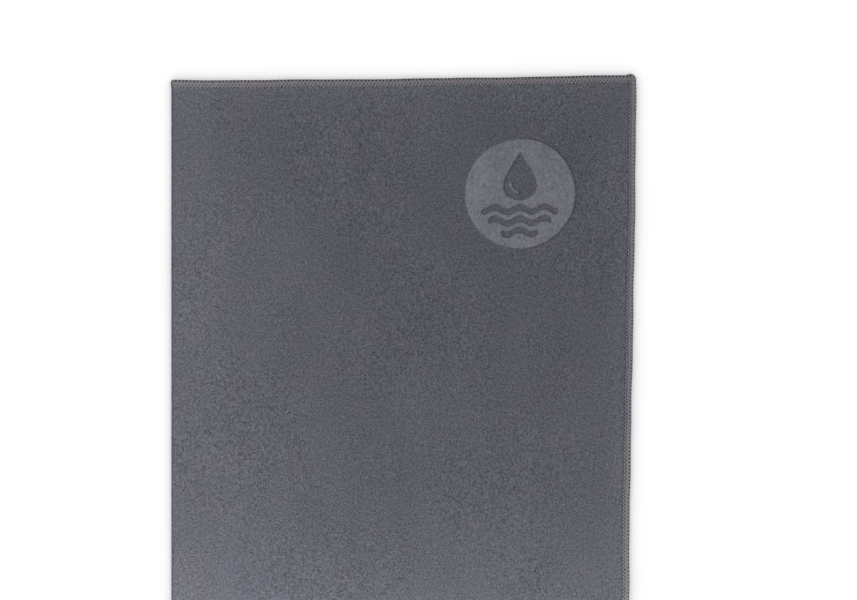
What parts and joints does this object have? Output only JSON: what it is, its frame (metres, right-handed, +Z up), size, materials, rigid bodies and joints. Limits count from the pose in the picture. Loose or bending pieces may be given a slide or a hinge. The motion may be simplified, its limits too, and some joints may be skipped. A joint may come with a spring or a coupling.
{
  "type": "towel",
  "caption": "Flat microfibre travel towel folded once across its length, with overlocked hems, a round pressed motif in one corner and a fold hinge.",
  "frame": {"origin": "centre of the folded towel's outline, on the surface it lies on", "axes": "+X from the fold to the end hem, +Y along the fold towards the corner with the motif, +Z up"},
  "size_m": [0.3374, 0.406, 0.0043],
  "materials": {
    "towel_cloth": "short brushed suede nap",
    "hem_thread": "textured overlock thread",
    "care_label": "woven satin, blank"
  },
  "bodies": {
    "lower_half": {"lower_cloth": "towel_cloth", "lower_rear_hem_needle_thread": "hem_thread", "lower_rear_hem_face_looper": "hem_thread", "lower_rear_hem_back_looper": "hem_thread", "lower_front_hem_needle_thread": "hem_thread", "lower_front_hem_face_looper": "hem_thread", "lower_front_hem_back_looper": "hem_thread", "lower_end_hem_needle_thread": "hem_thread", "lower_end_hem_face_looper": "hem_thread", "lower_end_hem_back_looper": "hem_thread", "fold_cloth": "towel_cloth", "fold_rear_hem_needle_thread": "hem_thread", "fold_rear_hem_face_looper": "hem_thread", "fold_rear_hem_back_looper": "hem_thread", "fold_front_hem_needle_thread": "hem_thread", "fold_front_hem_face_looper": "hem_thread", "fold_front_hem_back_looper": "hem_thread", "care_label": "care_label", "care_label_seam": "hem_thread"},
    "upper_half": {"upper_cloth": "towel_cloth", "upper_rear_hem_needle_thread": "hem_thread", "upper_rear_hem_face_looper": "hem_thread", "upper_rear_hem_back_looper": "hem_thread", "upper_front_hem_needle_thread": "hem_thread", "upper_front_hem_face_looper": "hem_thread", "upper_front_hem_back_looper": "hem_thread", "upper_end_hem_needle_thread": "hem_thread", "upper_end_hem_face_looper": "hem_thread", "upper_end_hem_back_looper": "hem_thread"}
  },
  "joints": [
    {"name": "fold_hinge", "type": "hinge", "parent": "lower_half", "child": "upper_half", "pos_m": [-0.16833, 0, 0.00215], "axis": [0, -1, 0], "range_deg": [0, 180], "deforming": ["fold_cloth", "fold_rear_hem_needle_thread", "fold_rear_hem_face_looper", "fold_rear_hem_back_looper", "fold_front_hem_needle_thread", "fold_front_hem_face_looper", "fold_front_hem_back_looper"]}
  ]
}
